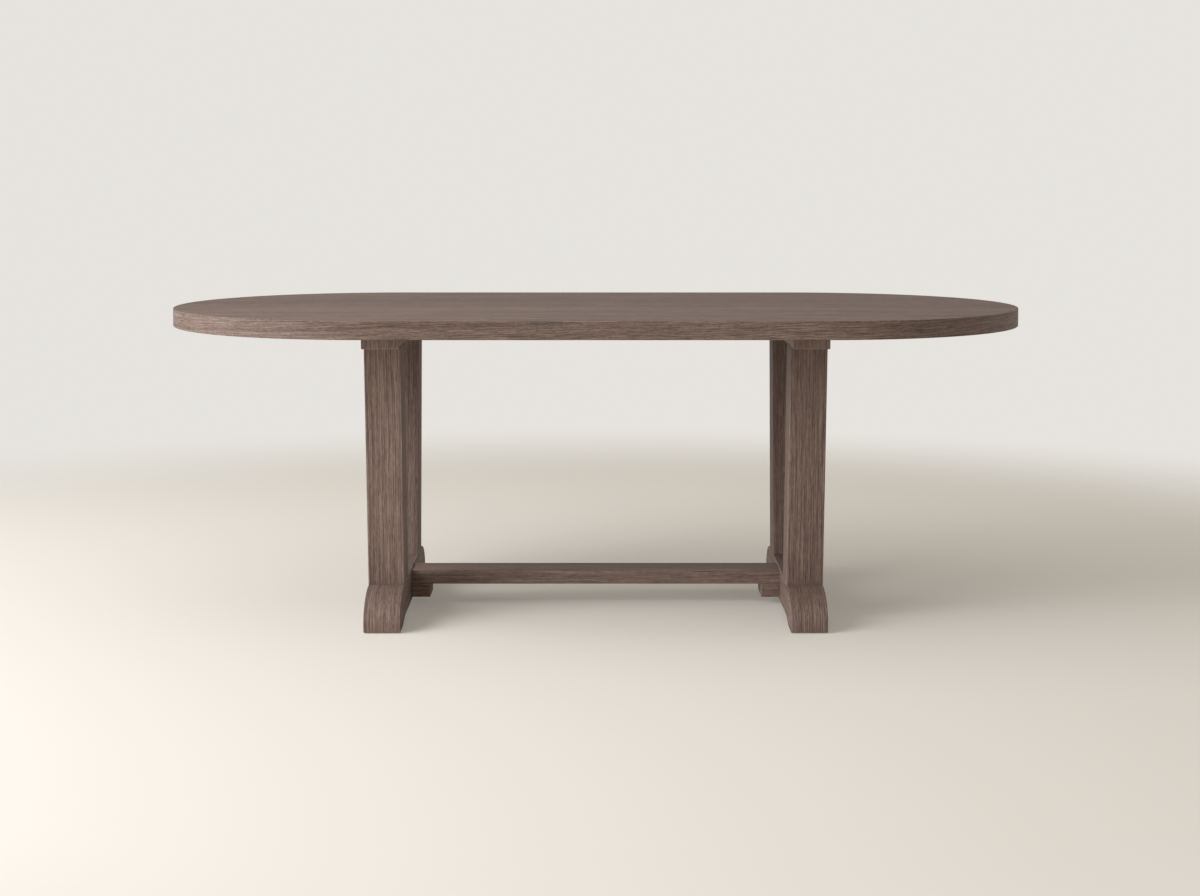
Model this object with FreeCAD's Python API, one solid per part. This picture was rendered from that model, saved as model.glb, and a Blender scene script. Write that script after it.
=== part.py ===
import FreeCAD, Part
import math
import os

# Oval dining table: a racetrack-shaped top on two trestles of leaning legs, tied by a low stretcher.
# Sizes are millimetres. +Z is up, +X runs along the top and -Y is the front.
# The origin is on the floor, under the middle of the top.

Vector = FreeCAD.Vector
UP = Vector(0, 0, 1)
ALONG = Vector(1, 0, 0)
SIDES = (("left", -1), ("right", 1))
ENDS = (("front", -1), ("back", 1))

# Top
table_height = 762.0
top_width = 1067.0
straight_length = 1067.0  # straight part of each long side, between the round ends
top_thickness = 44.0
veneer_thickness = 1.5  # face and backing alike
arris_ease = 1.2
edge_band_thickness = 20.0
glue_gap = 0.3  # between the edge band and the core

# Trestles
trestle_spacing = 1026.0  # middle to middle
trestle_width = 89.0  # bearer, legs and foot rail are flush
edge_ease = 2.0
bearer_thickness = 34.0
bearer_overhang = 61.0  # past the legs, at each end
leg_depth = 108.0  # level, front to back
leg_spread_top = 660.0  # over the outer faces, under the bearer
leg_spread_foot = 522.0  # over the outer faces, on the foot rail

# Foot rails
foot_height = 93.0
toe_length = 130.0  # past the legs, at each end
nose_height = 22.0  # where the toe's curve turns plumb
pad_length = 65.0
ramp_length = 85.0
arch_height = 13.0  # of the underside over the pads

# Leg tenons
tenon_width_share = 0.36  # of the trestle's width
tenon_depth_share = 0.6  # of the leg's depth
bearer_mortise_share = 0.65  # of the bearer's thickness
foot_mortise_share = 0.5  # of the foot rail's height
joint_clearance = 0.2
tenon_end_gap = 1.5

# Stretcher and its blocks
stretcher_width = 98.0
stretcher_thickness = 36.0
stretcher_setdown = 3.0  # of its top below the foot rails' tops
stub_length = 12.0
stub_shoulder = 8.0
block_length = 47.0
block_height = 34.0

# Dowels between the blocks and the foot rails
dowel_diameter = 10.0
dowel_length = 56.0
dowel_chamfer = 1.0
dowel_spread_share = 0.1  # of the stretcher's width, each side of its middle
dowel_clearance = 0.1
dowel_end_gap = 1.0

# Bolts, washers and threaded inserts
bolt_diameter = 8.0
bolt_head_diameter = 16.0
bolt_head_height = 5.0
bolt_head_round = 2.0
socket_size = 5.0  # across the flats of the hexagon
socket_depth = 3.0
socket_sides = 6
bolt_hole_clearance = 0.5
bolt_tip_gap = 3.0  # from the tip to the far end of the insert
washer_diameter = 20.0
washer_thickness = 1.6
washer_clearance = 0.3
counterbore_depth = 11.0
counterbore_clearance = 0.6
insert_diameter = 12.5
insert_length = 22.0
insert_clearance = 0.1
thread_clearance = 0.1
insert_end_gap = 2.0
inner_bolt_share = 0.5  # of the way from the middle of the bearer to a leg
stretcher_bolt_share = 0.3  # of the stretcher's width, each side of its middle

# Floor glides and their screws
glide_diameter = 38.0
glide_thickness = 6.0
glide_stand = 1.5  # what shows below the pad
glide_chamfer = 1.0
glide_clearance = 0.3
screw_diameter = 4.0
screw_length = 26.0
screw_head_diameter = 8.0
screw_head_recess = 1.2  # above the floor
screw_clearance = 0.1
screw_point_length = 5.0

overrun = 1.0  # how far a cut or a joined piece runs past the face that it meets
same_place = 0.1  # places closer than this count as one

# Places that follow from the sizes
end_radius = top_width / 2
half_straight = straight_length / 2
top_underside = table_height - top_thickness
core_bottom = top_underside + veneer_thickness
core_top = table_height - veneer_thickness
bearer_bottom = top_underside - bearer_thickness
bearer_half_length = leg_spread_top / 2 + bearer_overhang
foot_half_length = leg_spread_foot / 2 + toe_length
half_trestle = trestle_width / 2
rail_inner_x = trestle_spacing / 2 - half_trestle
tenon_width = trestle_width * tenon_width_share
tenon_depth = leg_depth * tenon_depth_share
bearer_tenon_length = bearer_thickness * bearer_mortise_share
foot_tenon_length = foot_height * foot_mortise_share
leg_middle_top = (leg_spread_top - leg_depth) / 2
leg_middle_foot = (leg_spread_foot - leg_depth) / 2
stretcher_top = foot_height - stretcher_setdown
stretcher_bottom = stretcher_top - stretcher_thickness
block_bottom = stretcher_bottom - block_height
pad_middle = foot_half_length - pad_length / 2


def box(low, high):
    """A box between two corners."""
    size = [high[i] - low[i] for i in range(3)]
    return Part.makeBox(*size, Vector(*low))


def box_about(middle_x, middle_y, width, depth, low_z, high_z):
    """A box centred on a plumb line."""
    low = (middle_x - width / 2, middle_y - depth / 2, low_z)
    high = (middle_x + width / 2, middle_y + depth / 2, high_z)
    return box(low, high)


def rod(diameter, x, y, low_z, high_z):
    """An upright cylinder."""
    return Part.makeCylinder(diameter / 2, high_z - low_z, Vector(x, y, low_z), UP)


def one_solid(shape):
    """The single solid that a cut or a join leaves."""
    [solid] = shape.removeSplitter().Solids
    return solid


def eased(solid, radius, wanted):
    """The solid with every wanted edge rounded over."""
    return solid.makeFillet(radius, [edge for edge in solid.Edges if wanted(edge)])


def near(first, second):
    """Whether two places along one axis count as the same."""
    return abs(first - second) < same_place


def level(edge, height):
    """Whether the edge lies flat at a height."""
    return near(edge.BoundBox.ZMin, height) and near(edge.BoundBox.ZMax, height)


def runs_along_x(edge):
    """Whether the edge is a straight line along the length of the table."""
    return near(edge.BoundBox.XLength, edge.Length)


def prism(outline, low_x, high_x):
    """A solid of one outline, drawn across the table, from one place along it to another."""
    face = Part.Face(Part.Wire(outline))
    face.translate(ALONG * low_x)
    return face.extrude(ALONG * (high_x - low_x))


def racetrack(radius, low_z, high_z):
    """A slab with straight long sides and round ends."""
    middle = box((-half_straight, -radius, low_z), (half_straight, radius, high_z))
    rounds = [rod(2 * radius, side * half_straight, 0, low_z, high_z) for _, side in SIDES]
    return one_solid(middle.multiFuse(rounds))


def top_bolt_places():
    """Where bolts pass up through the bearers: outside the legs and between them."""
    outer_y = bearer_half_length - bearer_overhang / 2
    inner_y = (leg_spread_top / 2 - leg_depth) * inner_bolt_share
    places = []
    for _, side in SIDES:
        for _, end in ENDS:
            for y in (outer_y, inner_y):
                places.append((side * trestle_spacing / 2, end * y))
    return places


def stretcher_bolt_places():
    """Where bolts pass up through the stretcher blocks."""
    x = rail_inner_x - block_length / 2
    y = stretcher_width * stretcher_bolt_share
    return [(side * x, end * y) for _, side in SIDES for _, end in ENDS]


def glide_places():
    """The middles of the pads that the table stands on."""
    return [(side * trestle_spacing / 2, end * pad_middle) for _, side in SIDES for _, end in ENDS]


def bolt_seat(carrier_bottom):
    """Height of the floor of a counterbore."""
    return carrier_bottom + counterbore_depth


def bolt(x, y, carrier_bottom, insert_bottom):
    """A socket-head bolt, head down, under its washer."""
    head_top = bolt_seat(carrier_bottom) - washer_thickness
    head_bottom = head_top - bolt_head_height
    head = rod(bolt_head_diameter, x, y, head_bottom, head_top)
    head = eased(head, bolt_head_round, lambda edge: level(edge, head_bottom) and edge.isClosed())
    shank = rod(bolt_diameter, x, y, head_top - overrun, insert_bottom + insert_length - bolt_tip_gap)
    return one_solid(head.fuse(shank).cut(hex_socket(x, y, head_bottom)))


def hex_socket(x, y, head_bottom):
    """The key socket in a bolt head, open below."""
    corner_radius = socket_size / 2 / math.cos(math.pi / socket_sides)
    corners = []
    for step in range(socket_sides + 1):
        angle = step * 2 * math.pi / socket_sides
        reach = Vector(math.cos(angle), math.sin(angle), 0) * corner_radius
        corners.append(Vector(x, y, head_bottom - overrun) + reach)
    return Part.Face(Part.makePolygon(corners)).extrude(UP * (socket_depth + overrun))


def washer(x, y, carrier_bottom):
    """A flat washer on the floor of a counterbore."""
    seat = bolt_seat(carrier_bottom)
    bottom = seat - washer_thickness
    disc = rod(washer_diameter, x, y, bottom, seat)
    hole = rod(bolt_diameter + 2 * washer_clearance, x, y, bottom - overrun, seat + overrun)
    return one_solid(disc.cut(hole))


def insert(x, y, insert_bottom):
    """A threaded sleeve, let into the wood from below."""
    sleeve = rod(insert_diameter, x, y, insert_bottom, insert_bottom + insert_length)
    bore_top = insert_bottom + insert_length + overrun
    bore = rod(bolt_diameter + 2 * thread_clearance, x, y, insert_bottom - overrun, bore_top)
    return one_solid(sleeve.cut(bore))


def bolt_way(x, y, carrier_bottom, carrier_top):
    """The counterbore and clearance hole for one bolt."""
    seat = bolt_seat(carrier_bottom)
    counterbore = rod(washer_diameter + 2 * counterbore_clearance, x, y, carrier_bottom - overrun, seat)
    hole = rod(bolt_diameter + 2 * bolt_hole_clearance, x, y, carrier_bottom, carrier_top + overrun)
    return counterbore.fuse(hole)


def insert_way(x, y, insert_bottom):
    """The blind hole for one threaded insert."""
    top = insert_bottom + insert_length + insert_end_gap
    return rod(insert_diameter + 2 * insert_clearance, x, y, insert_bottom - overrun, top)


def top_core():
    """The board inside the top, with holes for the inserts."""
    core = racetrack(end_radius - edge_band_thickness - glue_gap, core_bottom, core_top)
    holes = [insert_way(x, y, top_underside) for x, y in top_bolt_places()]
    return one_solid(core.cut(holes))


def face_veneer():
    """The sheet over the core and the edge band, its outer arris eased."""
    sheet = racetrack(end_radius, core_top, table_height)
    return eased(sheet, arris_ease, lambda edge: level(edge, table_height))


def backing_veneer():
    """The sheet under the core, its lower arris eased, with holes for the inserts."""
    sheet = racetrack(end_radius, top_underside, core_bottom)
    sheet = eased(sheet, arris_ease, lambda edge: level(edge, top_underside))
    holes = [insert_way(x, y, top_underside) for x, y in top_bolt_places()]
    return one_solid(sheet.cut(holes))


def straight_edge_band(end):
    """The band along one long side."""
    inner_y = end * (end_radius - edge_band_thickness)
    outer_y = end * end_radius
    low = (-half_straight, min(inner_y, outer_y), core_bottom)
    high = (half_straight, max(inner_y, outer_y), core_top)
    return box(low, high)


def bent_edge_band(side):
    """The band round one end, a half ring."""
    outer = rod(2 * end_radius, side * half_straight, 0, core_bottom, core_top)
    inner_diameter = 2 * (end_radius - edge_band_thickness)
    inner = rod(inner_diameter, side * half_straight, 0, core_bottom - overrun, core_top + overrun)
    reach = end_radius + overrun
    middle_x = side * (half_straight + reach / 2)
    outward = box_about(middle_x, 0, reach, 2 * reach, core_bottom - overrun, core_top + overrun)
    return one_solid(outer.cut(inner).common(outward))


def bearer(side):
    """The rail under the top, with mortises for the legs and ways for the bolts."""
    middle_x = side * trestle_spacing / 2
    rail = box_about(middle_x, 0, trestle_width, 2 * bearer_half_length, bearer_bottom, top_underside)
    rail = eased(rail, edge_ease, lambda edge: not level(edge, top_underside))
    for _, end in ENDS:
        seat_y = end * leg_middle_top
        seat_top = bearer_bottom + edge_ease + overrun
        rail = rail.fuse(box_about(middle_x, seat_y, trestle_width, leg_depth, bearer_bottom, seat_top))
    cuts = []
    for _, end in ENDS:
        mortise_top = bearer_bottom + bearer_tenon_length + tenon_end_gap
        cuts.append(mortise(middle_x, end * leg_middle_top, bearer_bottom - overrun, mortise_top))
    for x, y in top_bolt_places():
        if x * side > 0:
            cuts.append(bolt_way(x, y, bearer_bottom, top_underside))
    return one_solid(rail.cut(cuts))


def mortise(x, y, low_z, high_z):
    """The pocket for one leg tenon."""
    width = tenon_width + 2 * joint_clearance
    depth = tenon_depth + 2 * joint_clearance
    return box_about(x, y, width, depth, low_z, high_z)


def tenon(x, y, low_z, high_z):
    """The plumb tongue on one end of a leg."""
    return box_about(x, y, tenon_width, tenon_depth, low_z, high_z)


def leg(side, end):
    """A straight leg leaning in towards the floor, with a tenon on each end."""
    middle_x = side * trestle_spacing / 2
    corners = [
        Vector(0, end * leg_spread_foot / 2, foot_height),
        Vector(0, end * (leg_spread_foot / 2 - leg_depth), foot_height),
        Vector(0, end * (leg_spread_top / 2 - leg_depth), bearer_bottom),
        Vector(0, end * leg_spread_top / 2, bearer_bottom),
    ]
    outline = Part.makePolygon(corners + corners[:1]).Edges
    post = prism(outline, middle_x - half_trestle, middle_x + half_trestle)
    post = eased(post, edge_ease, lambda edge: edge.BoundBox.ZLength > edge_ease)
    top_end = bearer_bottom + bearer_tenon_length
    foot_end = foot_height - foot_tenon_length
    tenons = [
        tenon(middle_x, end * leg_middle_top, bearer_bottom - overrun, top_end),
        tenon(middle_x, end * leg_middle_foot, foot_end, foot_height + overrun),
    ]
    return one_solid(post.multiFuse(tenons))


def toe_curve(end):
    """The quarter ellipse from the top of a foot rail down to its nose."""
    middle = Vector(0, end * leg_spread_foot / 2, nose_height)
    nose = Vector(0, end * foot_half_length, nose_height)
    crown = Vector(0, end * leg_spread_foot / 2, foot_height)
    quarter = Part.Ellipse(nose, crown, middle)
    return Part.ArcOfEllipse(quarter, 0, math.pi / 2).toShape()


def underside_ramp(end):
    """Two tangent arcs from a pad up to the arch under a foot rail."""
    pad_end = Vector(0, end * (foot_half_length - pad_length), glide_stand)
    arch_end = pad_end + Vector(0, -end * ramp_length, arch_height)
    turn = (pad_end + arch_end) / 2
    half_run = ramp_length / 2
    half_rise = arch_height / 2
    radius = (half_run ** 2 + half_rise ** 2) / (2 * half_rise)
    half_angle = math.asin(half_run / radius) / 2
    step = Vector(0, -end * radius * math.sin(half_angle), radius * (1 - math.cos(half_angle)))
    lower = Part.Arc(pad_end, pad_end + step, turn).toShape()
    upper = Part.Arc(turn, arch_end - step, arch_end).toShape()
    return [lower, upper]


def foot_outline():
    """The side of a foot rail: flat top, round toes, plumb noses, pads and a shallow arch."""
    edges = []
    tops = []
    arch_ends = []
    for _, end in ENDS:
        nose_top = Vector(0, end * foot_half_length, nose_height)
        nose_bottom = Vector(0, end * foot_half_length, glide_stand)
        pad_end = Vector(0, end * (foot_half_length - pad_length), glide_stand)
        edges.append(toe_curve(end))
        edges.append(Part.makeLine(nose_top, nose_bottom))
        edges.append(Part.makeLine(nose_bottom, pad_end))
        edges.extend(underside_ramp(end))
        tops.append(Vector(0, end * leg_spread_foot / 2, foot_height))
        arch_ends.append(pad_end + Vector(0, -end * ramp_length, arch_height))
    edges.append(Part.makeLine(*tops))
    edges.append(Part.makeLine(*arch_ends))
    return Part.__sortEdges__(edges)


def foot_rail(side):
    """A shoe foot with mortises for the legs and sockets for the stretcher, dowels and glides."""
    middle_x = side * trestle_spacing / 2
    rail = prism(foot_outline(), middle_x - half_trestle, middle_x + half_trestle)
    rail = eased(rail, edge_ease, lambda edge: not runs_along_x(edge))
    for _, end in ENDS:
        seat_y = end * leg_middle_foot
        seat_bottom = foot_height - edge_ease - overrun
        rail = rail.fuse(box_about(middle_x, seat_y, trestle_width, leg_depth, seat_bottom, foot_height))
    cuts = [stretcher_socket(side)]
    for _, end in ENDS:
        mortise_bottom = foot_height - foot_tenon_length - tenon_end_gap
        cuts.append(mortise(middle_x, end * leg_middle_foot, mortise_bottom, foot_height + overrun))
        cuts.append(dowel_way(side, end))
    for x, y in glide_places():
        if x * side > 0:
            cuts.extend(glide_pocket(x, y))
    return one_solid(rail.cut(cuts))


def stub_reach(side, length, ease):
    """The stub tenon on one end of the stretcher, or the socket around it."""
    near_x = side * (rail_inner_x - overrun)
    far_x = side * (rail_inner_x + length)
    half_width = stretcher_width / 2 - stub_shoulder + ease
    low = (min(near_x, far_x), -half_width, stretcher_bottom + stub_shoulder - ease)
    high = (max(near_x, far_x), half_width, stretcher_top - stub_shoulder + ease)
    return box(low, high)


def stretcher_socket(side):
    """The pocket in a foot rail for the stretcher's stub tenon."""
    return stub_reach(side, stub_length + tenon_end_gap, joint_clearance)


def stretcher():
    """The board between the foot rails, with stub tenons and holes for the inserts."""
    half_width = stretcher_width / 2
    low = (-rail_inner_x, -half_width, stretcher_bottom)
    high = (rail_inner_x, half_width, stretcher_top)
    board = eased(box(low, high), edge_ease, runs_along_x)
    board = board.multiFuse([stub_reach(side, stub_length, 0) for _, side in SIDES])
    return one_solid(board.cut([insert_way(x, y, stretcher_bottom) for x, y in stretcher_bolt_places()]))


def stretcher_block(side):
    """The block under one end of the stretcher, against the foot rail."""
    rail_x = side * rail_inner_x
    free_x = side * (rail_inner_x - block_length)
    half_width = stretcher_width / 2
    low = (min(rail_x, free_x), -half_width, block_bottom)
    high = (max(rail_x, free_x), half_width, stretcher_bottom)

    def shows(edge):
        return not near(edge.CenterOfMass.x, rail_x) and not level(edge, stretcher_bottom)

    block = eased(box(low, high), edge_ease, shows)
    cuts = [dowel_way(side, end) for _, end in ENDS]
    for x, y in stretcher_bolt_places():
        if x * side > 0:
            cuts.append(bolt_way(x, y, block_bottom, stretcher_bottom))
    return one_solid(block.cut(cuts))


def dowel_line(side, end, length, diameter):
    """A cylinder along the table, half in a block and half in its foot rail."""
    y = end * stretcher_width * dowel_spread_share
    start = Vector(side * rail_inner_x - length / 2, y, stretcher_bottom - block_height / 2)
    return Part.makeCylinder(diameter / 2, length, start, ALONG)


def dowel(side, end):
    """One dowel with chamfered ends."""
    pin = dowel_line(side, end, dowel_length, dowel_diameter)
    return pin.makeChamfer(dowel_chamfer, [edge for edge in pin.Edges if not runs_along_x(edge)])


def dowel_way(side, end):
    """The hole for one dowel."""
    return dowel_line(side, end, dowel_length + 2 * dowel_end_gap, dowel_diameter + 2 * dowel_clearance)


def screw_head(x, y, ease):
    """The cone of a countersunk head, or the seat around it."""
    head_height = (screw_head_diameter - screw_diameter) / 2
    base = Vector(x, y, screw_head_recess)
    return Part.makeCone(screw_head_diameter / 2 + ease, screw_diameter / 2 + ease, head_height, base, UP)


def glide(x, y):
    """A round floor glide with a countersunk hole."""
    disc = rod(glide_diameter, x, y, 0, glide_thickness)
    rim = [edge for edge in disc.Edges if level(edge, 0) and edge.isClosed()]
    disc = disc.makeChamfer(glide_chamfer, rim)
    well = rod(screw_head_diameter + 2 * screw_clearance, x, y, -overrun, screw_head_recess)
    hole = rod(screw_diameter + 2 * screw_clearance, x, y, -overrun, glide_thickness + overrun)
    return one_solid(disc.cut([well, screw_head(x, y, screw_clearance), hole]))


def glide_pocket(x, y):
    """The round pocket for a glide, and the pilot hole for its screw."""
    pocket = rod(glide_diameter + 2 * glide_clearance, x, y, 0, glide_thickness)
    pilot_top = screw_head_recess + screw_length + overrun
    return [pocket, rod(screw_diameter + 2 * screw_clearance, x, y, 0, pilot_top)]


def glide_screw(x, y):
    """A countersunk screw, point up."""
    tip = screw_head_recess + screw_length
    shank_top = tip - screw_point_length
    shank = rod(screw_diameter, x, y, screw_head_recess, shank_top)
    point = Part.makeCone(screw_diameter / 2, 0, screw_point_length, Vector(x, y, shank_top), UP)
    return one_solid(screw_head(x, y, 0).multiFuse([shank, point]))


def save(name, *solids):
    """Write one named piece, or a group of like pieces, to its own file."""
    shape = solids[0] if len(solids) == 1 else Part.makeCompound(list(solids))
    shape.exportStep(f"parts/{name}.step")


os.makedirs("parts", exist_ok=True)

save("top_core", top_core())
save("face_veneer", face_veneer())
save("backing_veneer", backing_veneer())
for end_name, end in ENDS:
    save(f"{end_name}_edge_band", straight_edge_band(end))
for side_name, side in SIDES:
    save(f"{side_name}_edge_band", bent_edge_band(side))

for side_name, side in SIDES:
    save(f"{side_name}_bearer", bearer(side))
    save(f"{side_name}_foot_rail", foot_rail(side))
    save(f"{side_name}_stretcher_block", stretcher_block(side))
    for end_name, end in ENDS:
        save(f"{side_name}_{end_name}_leg", leg(side, end))
save("stretcher", stretcher())

save("top_bolts", *[bolt(x, y, bearer_bottom, top_underside) for x, y in top_bolt_places()])
save("top_washers", *[washer(x, y, bearer_bottom) for x, y in top_bolt_places()])
save("top_inserts", *[insert(x, y, top_underside) for x, y in top_bolt_places()])
save("stretcher_bolts", *[bolt(x, y, block_bottom, stretcher_bottom) for x, y in stretcher_bolt_places()])
save("stretcher_washers", *[washer(x, y, block_bottom) for x, y in stretcher_bolt_places()])
save("stretcher_inserts", *[insert(x, y, stretcher_bottom) for x, y in stretcher_bolt_places()])
save("block_dowels", *[dowel(side, end) for _, side in SIDES for _, end in ENDS])
save("floor_glides", *[glide(x, y) for x, y in glide_places()])
save("glide_screws", *[glide_screw(x, y) for x, y in glide_places()])
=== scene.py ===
import math
import bmesh
import bpy
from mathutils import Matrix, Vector


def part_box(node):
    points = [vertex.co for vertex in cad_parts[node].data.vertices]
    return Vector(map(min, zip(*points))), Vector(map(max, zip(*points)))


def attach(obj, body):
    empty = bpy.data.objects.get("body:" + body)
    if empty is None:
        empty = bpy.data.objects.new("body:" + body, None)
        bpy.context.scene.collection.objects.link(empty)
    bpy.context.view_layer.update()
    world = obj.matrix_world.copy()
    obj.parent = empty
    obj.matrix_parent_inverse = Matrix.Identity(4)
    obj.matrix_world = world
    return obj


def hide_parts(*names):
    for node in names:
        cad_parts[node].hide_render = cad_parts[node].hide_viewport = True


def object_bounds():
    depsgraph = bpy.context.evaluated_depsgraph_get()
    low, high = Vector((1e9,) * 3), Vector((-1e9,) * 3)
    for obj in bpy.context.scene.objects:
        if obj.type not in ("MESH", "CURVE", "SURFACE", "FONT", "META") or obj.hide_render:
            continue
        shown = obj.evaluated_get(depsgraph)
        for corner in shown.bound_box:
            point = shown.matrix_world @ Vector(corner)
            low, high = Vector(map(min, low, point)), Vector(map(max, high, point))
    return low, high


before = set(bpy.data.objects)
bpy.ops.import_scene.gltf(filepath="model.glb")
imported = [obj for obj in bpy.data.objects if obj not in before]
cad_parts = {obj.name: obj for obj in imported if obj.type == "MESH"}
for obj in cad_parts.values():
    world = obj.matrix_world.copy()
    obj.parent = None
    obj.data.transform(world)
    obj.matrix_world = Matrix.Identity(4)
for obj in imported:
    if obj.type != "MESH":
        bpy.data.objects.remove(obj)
cad_low, cad_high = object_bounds()

# Eased edges, in metres like every size in this script
arris = 0.002                # most edges of the solid oak pieces
end_arris = 0.003            # edges of bearers and blocks that run along X
veneer_arris = 0.0012        # rim of the top, above and below
joint_ease = 0.0006          # ends of legs and stretcher, where they meet a rail or bearer

# Outline of a foot rail
toe_nose = 0.022             # top of the upright nose of a toe, above the floor
pad_length = 0.065           # flat under a toe that stands on its glide
ramp_length = 0.085          # from the pad up to the arch
arch_rise = 0.013

# Bolts, washers, glides and screws
counterbore_room = 0.0006    # between a washer and the wall of its counterbore
bolt_head_radius = 0.008
bolt_head_height = 0.005
bolt_head_round = 0.002
bolt_shank_radius = 0.004
bolt_socket = 0.0025         # half of the width across flats
bolt_socket_depth = 0.003
bolt_point = 0.001
washer_hole_radius = 0.0045
washer_rim = 0.0003
glide_rim = 0.0012
glide_well_radius = 0.0045
glide_well_depth = 0.0032
glide_hole_radius = 0.0024
screw_head_radius = 0.004
screw_head_height = 0.0026
screw_shank_radius = 0.002
screw_slot_radius = 0.0021
screw_slot_depth = 0.0012
screw_slot_waist = 0.6       # share of the slot's radius that is left solid between its arms
screw_point = 0.004

# Facets and tolerances
arc_steps = 4                # across an eased edge
round_steps = 48             # in a quarter of the top's rim
toe_steps = 28
ramp_steps = 12
turn_steps = 48              # round a turned fitting
smooth_angle = math.radians(40.0)
same_point = 1e-6
same_level = 1e-5
weld_distance = 1e-5

# Place of each board in its log, across and through the grain
veneer_across, veneer_through = 2.0, 0.3
band_across, band_through = 0.06, 0.14
rail_across, rail_through = 0.7, 0.1       # bearers and foot rails
leg_across, leg_through = 0.05, 0.14
block_across, block_through = 0.3, 0.2
stretcher_across, stretcher_through = 0.04, 0.07
leg_shift = 0.02             # across, from a front leg to the back one

# Place of each board along its log
trestle_step = 2.3           # from the left trestle to the right one
leg_step = 1.1               # from a front leg to the back one
rail_step = 4.0              # from a bearer to its foot rail
stretcher_along = 1.7
grain_slope = 0.03           # of the bands' grain against their edges
grain_rate = 1.8             # shorter lines in the bands than in the legs

# How much lighter than the legs a board is, or darker where it is below nought
bearer_tone = 0.20
block_tone = 0.10
stretcher_tone = 0.12
band_tone = -0.05

# Stain of the oak
dark_stain = (0.052, 0.030, 0.022)
mid_stain = (0.143, 0.090, 0.068)
light_stain = (0.262, 0.181, 0.145)
pore_stain = (0.034, 0.020, 0.014)
# lighter colour of the eased edges: stain thinned by rubbing, and a painted highlight along the arrises
rubbed_and_highlight_stain = (0.30, 0.22, 0.18)
pore_cover = 0.55            # of the pore stain over an open pore
lacquer_gloss = 0.5
fibre_roughness = 0.12       # added to the lacquer's own, as are the next two
pore_roughness = 0.18
rubbed_roughness = -0.1
fibre_relief = 0.5           # against the depth of an open pore

# Share of each figure of the oak in its tone
broad_share = 0.20           # wide bands
streak_share = 1.00          # long lines
fleck_share = 0.48           # short lines
fibre_share = 1.00           # fine lines
ring_share = 0.08            # one growth ring against the next
early_share = -0.14          # early wood, at the start of each ring
leaf_share = 0.12            # one leaf of veneer against the next
leaf_slip = 7.0              # most that a leaf is slipped along the log
ring_cells = 45.0            # to a metre, by which rings run wide and narrow
ring_swing = 4.0             # whole range of that change, in rings

# Colours and shares of the other finishes
board_dark, board_mid, board_light = (0.22, 0.145, 0.085), (0.35, 0.25, 0.16), (0.48, 0.37, 0.25)
beech_dark, beech_mid, beech_light = (0.45, 0.29, 0.17), (0.6, 0.42, 0.26), (0.72, 0.55, 0.38)
steel_dull, steel_bright = (0.40, 0.40, 0.40), (0.60, 0.60, 0.59)
brass_dull, brass_bright = (0.48, 0.34, 0.14), (0.70, 0.54, 0.26)
nylon_dark, nylon_light, nylon_scuff = (0.042, 0.037, 0.033), (0.058, 0.052, 0.047), (0.16, 0.15, 0.14)
middle_tone = 0.5
beech_fleck_share = -0.25
scuff_cover = 0.5


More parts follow.
